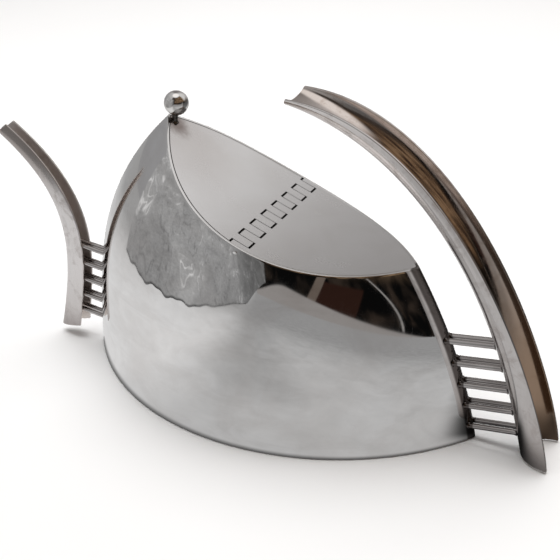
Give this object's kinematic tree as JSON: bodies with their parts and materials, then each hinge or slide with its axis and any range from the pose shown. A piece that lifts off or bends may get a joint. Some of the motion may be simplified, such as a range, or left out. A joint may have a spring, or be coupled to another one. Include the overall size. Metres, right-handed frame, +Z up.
{
  "type": "teapot",
  "caption": "Lens-shaped silver teapot with a scooped top, comb-hinged lid and ball knob, open gutter spout and open channel handle on paired rods.",
  "frame": {"origin": "middle of the flat base, on the surface that the pot stands on", "axes": "+X from the spout to the handle, +Y from front to back, +Z up"},
  "size_m": [0.3375, 0.121, 0.1766],
  "materials": {
    "polished_silver": "mirror-polished silver",
    "satin_silver": "satin silver",
    "inner_silver": "unpolished silver inside the pot",
    "drawn_silver": "polished silver with fine lengthwise marks",
    "rod_silver": "polished silver rod"
  },
  "bodies": {
    "pot": {"front_wall": "polished_silver", "rear_wall": "polished_silver", "base_plate": "satin_silver", "fixed_top": "satin_silver", "lid_ledge_front": "inner_silver", "lid_ledge_rear": "inner_silver", "fixed_knuckles": "inner_silver", "hinge_pin": "polished_silver", "spout_gutter": "drawn_silver", "handle_channel": "drawn_silver", "spout_tubes": "rod_silver", "spout_rods_2": "rod_silver", "spout_rods_3": "rod_silver", "spout_rods_4": "rod_silver", "spout_rods_5": "rod_silver", "handle_rods_1": "rod_silver", "handle_rods_2": "rod_silver", "handle_rods_3": "rod_silver", "handle_rods_4": "rod_silver", "handle_rods_5": "rod_silver"},
    "lid": {"lid_plate": "satin_silver", "lid_knuckles": "inner_silver", "ball_knob": "polished_silver", "knob_stem": "polished_silver"}
  },
  "joints": [
    {"name": "lid_hinge", "type": "hinge", "parent": "pot", "child": "lid", "pos_m": [0.0055, 0, 0.10788], "axis": [0, 1, 0], "range_deg": [0, 55]}
  ]
}
